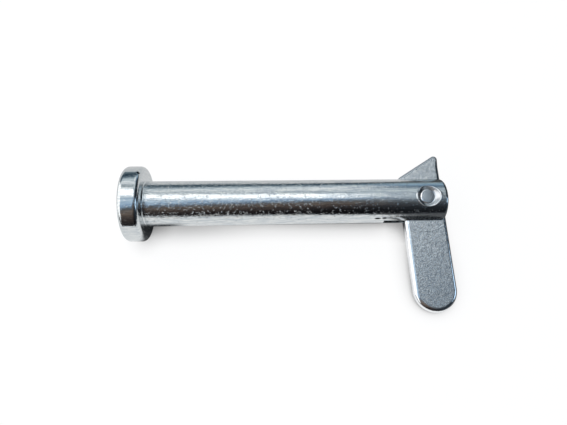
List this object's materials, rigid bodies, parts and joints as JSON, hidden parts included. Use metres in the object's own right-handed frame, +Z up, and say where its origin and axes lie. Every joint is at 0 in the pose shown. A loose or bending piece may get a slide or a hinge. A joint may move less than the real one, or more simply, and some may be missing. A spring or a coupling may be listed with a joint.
{
  "type": "lynch pin",
  "caption": "Headed steel pin with a forked tip and a flat drop toggle that swings on a cross rivet to lock the pin in its hole.",
  "frame": {"origin": "on the shank's axis, at the face under the head; the floor that the pin lies on is 13.2 mm below it", "axes": "+X along the shank towards the tip, which dips 2.8 degrees to the floor; +Z up; the toggle's round end lies towards -Y"},
  "size_m": [0.1155, 0.0567, 0.0267],
  "materials": {
    "pin_zinc": "bright zinc plate on turned steel",
    "toggle_zinc": "zinc plate on tumbled flat bar",
    "rivet_zinc": "zinc plate, worn at the staked ends"
  },
  "bodies": {
    "pin": {"headed_pin": "pin_zinc", "rivet": "rivet_zinc"},
    "toggle": {"toggle": "toggle_zinc"}
  },
  "joints": [
    {"name": "toggle_swing", "type": "hinge", "parent": "pin", "child": "toggle", "pos_m": [0.09868, 0, -0.00487], "axis": [0.0486, -0.1593, 0.986], "range_deg": [-36, 101]}
  ]
}
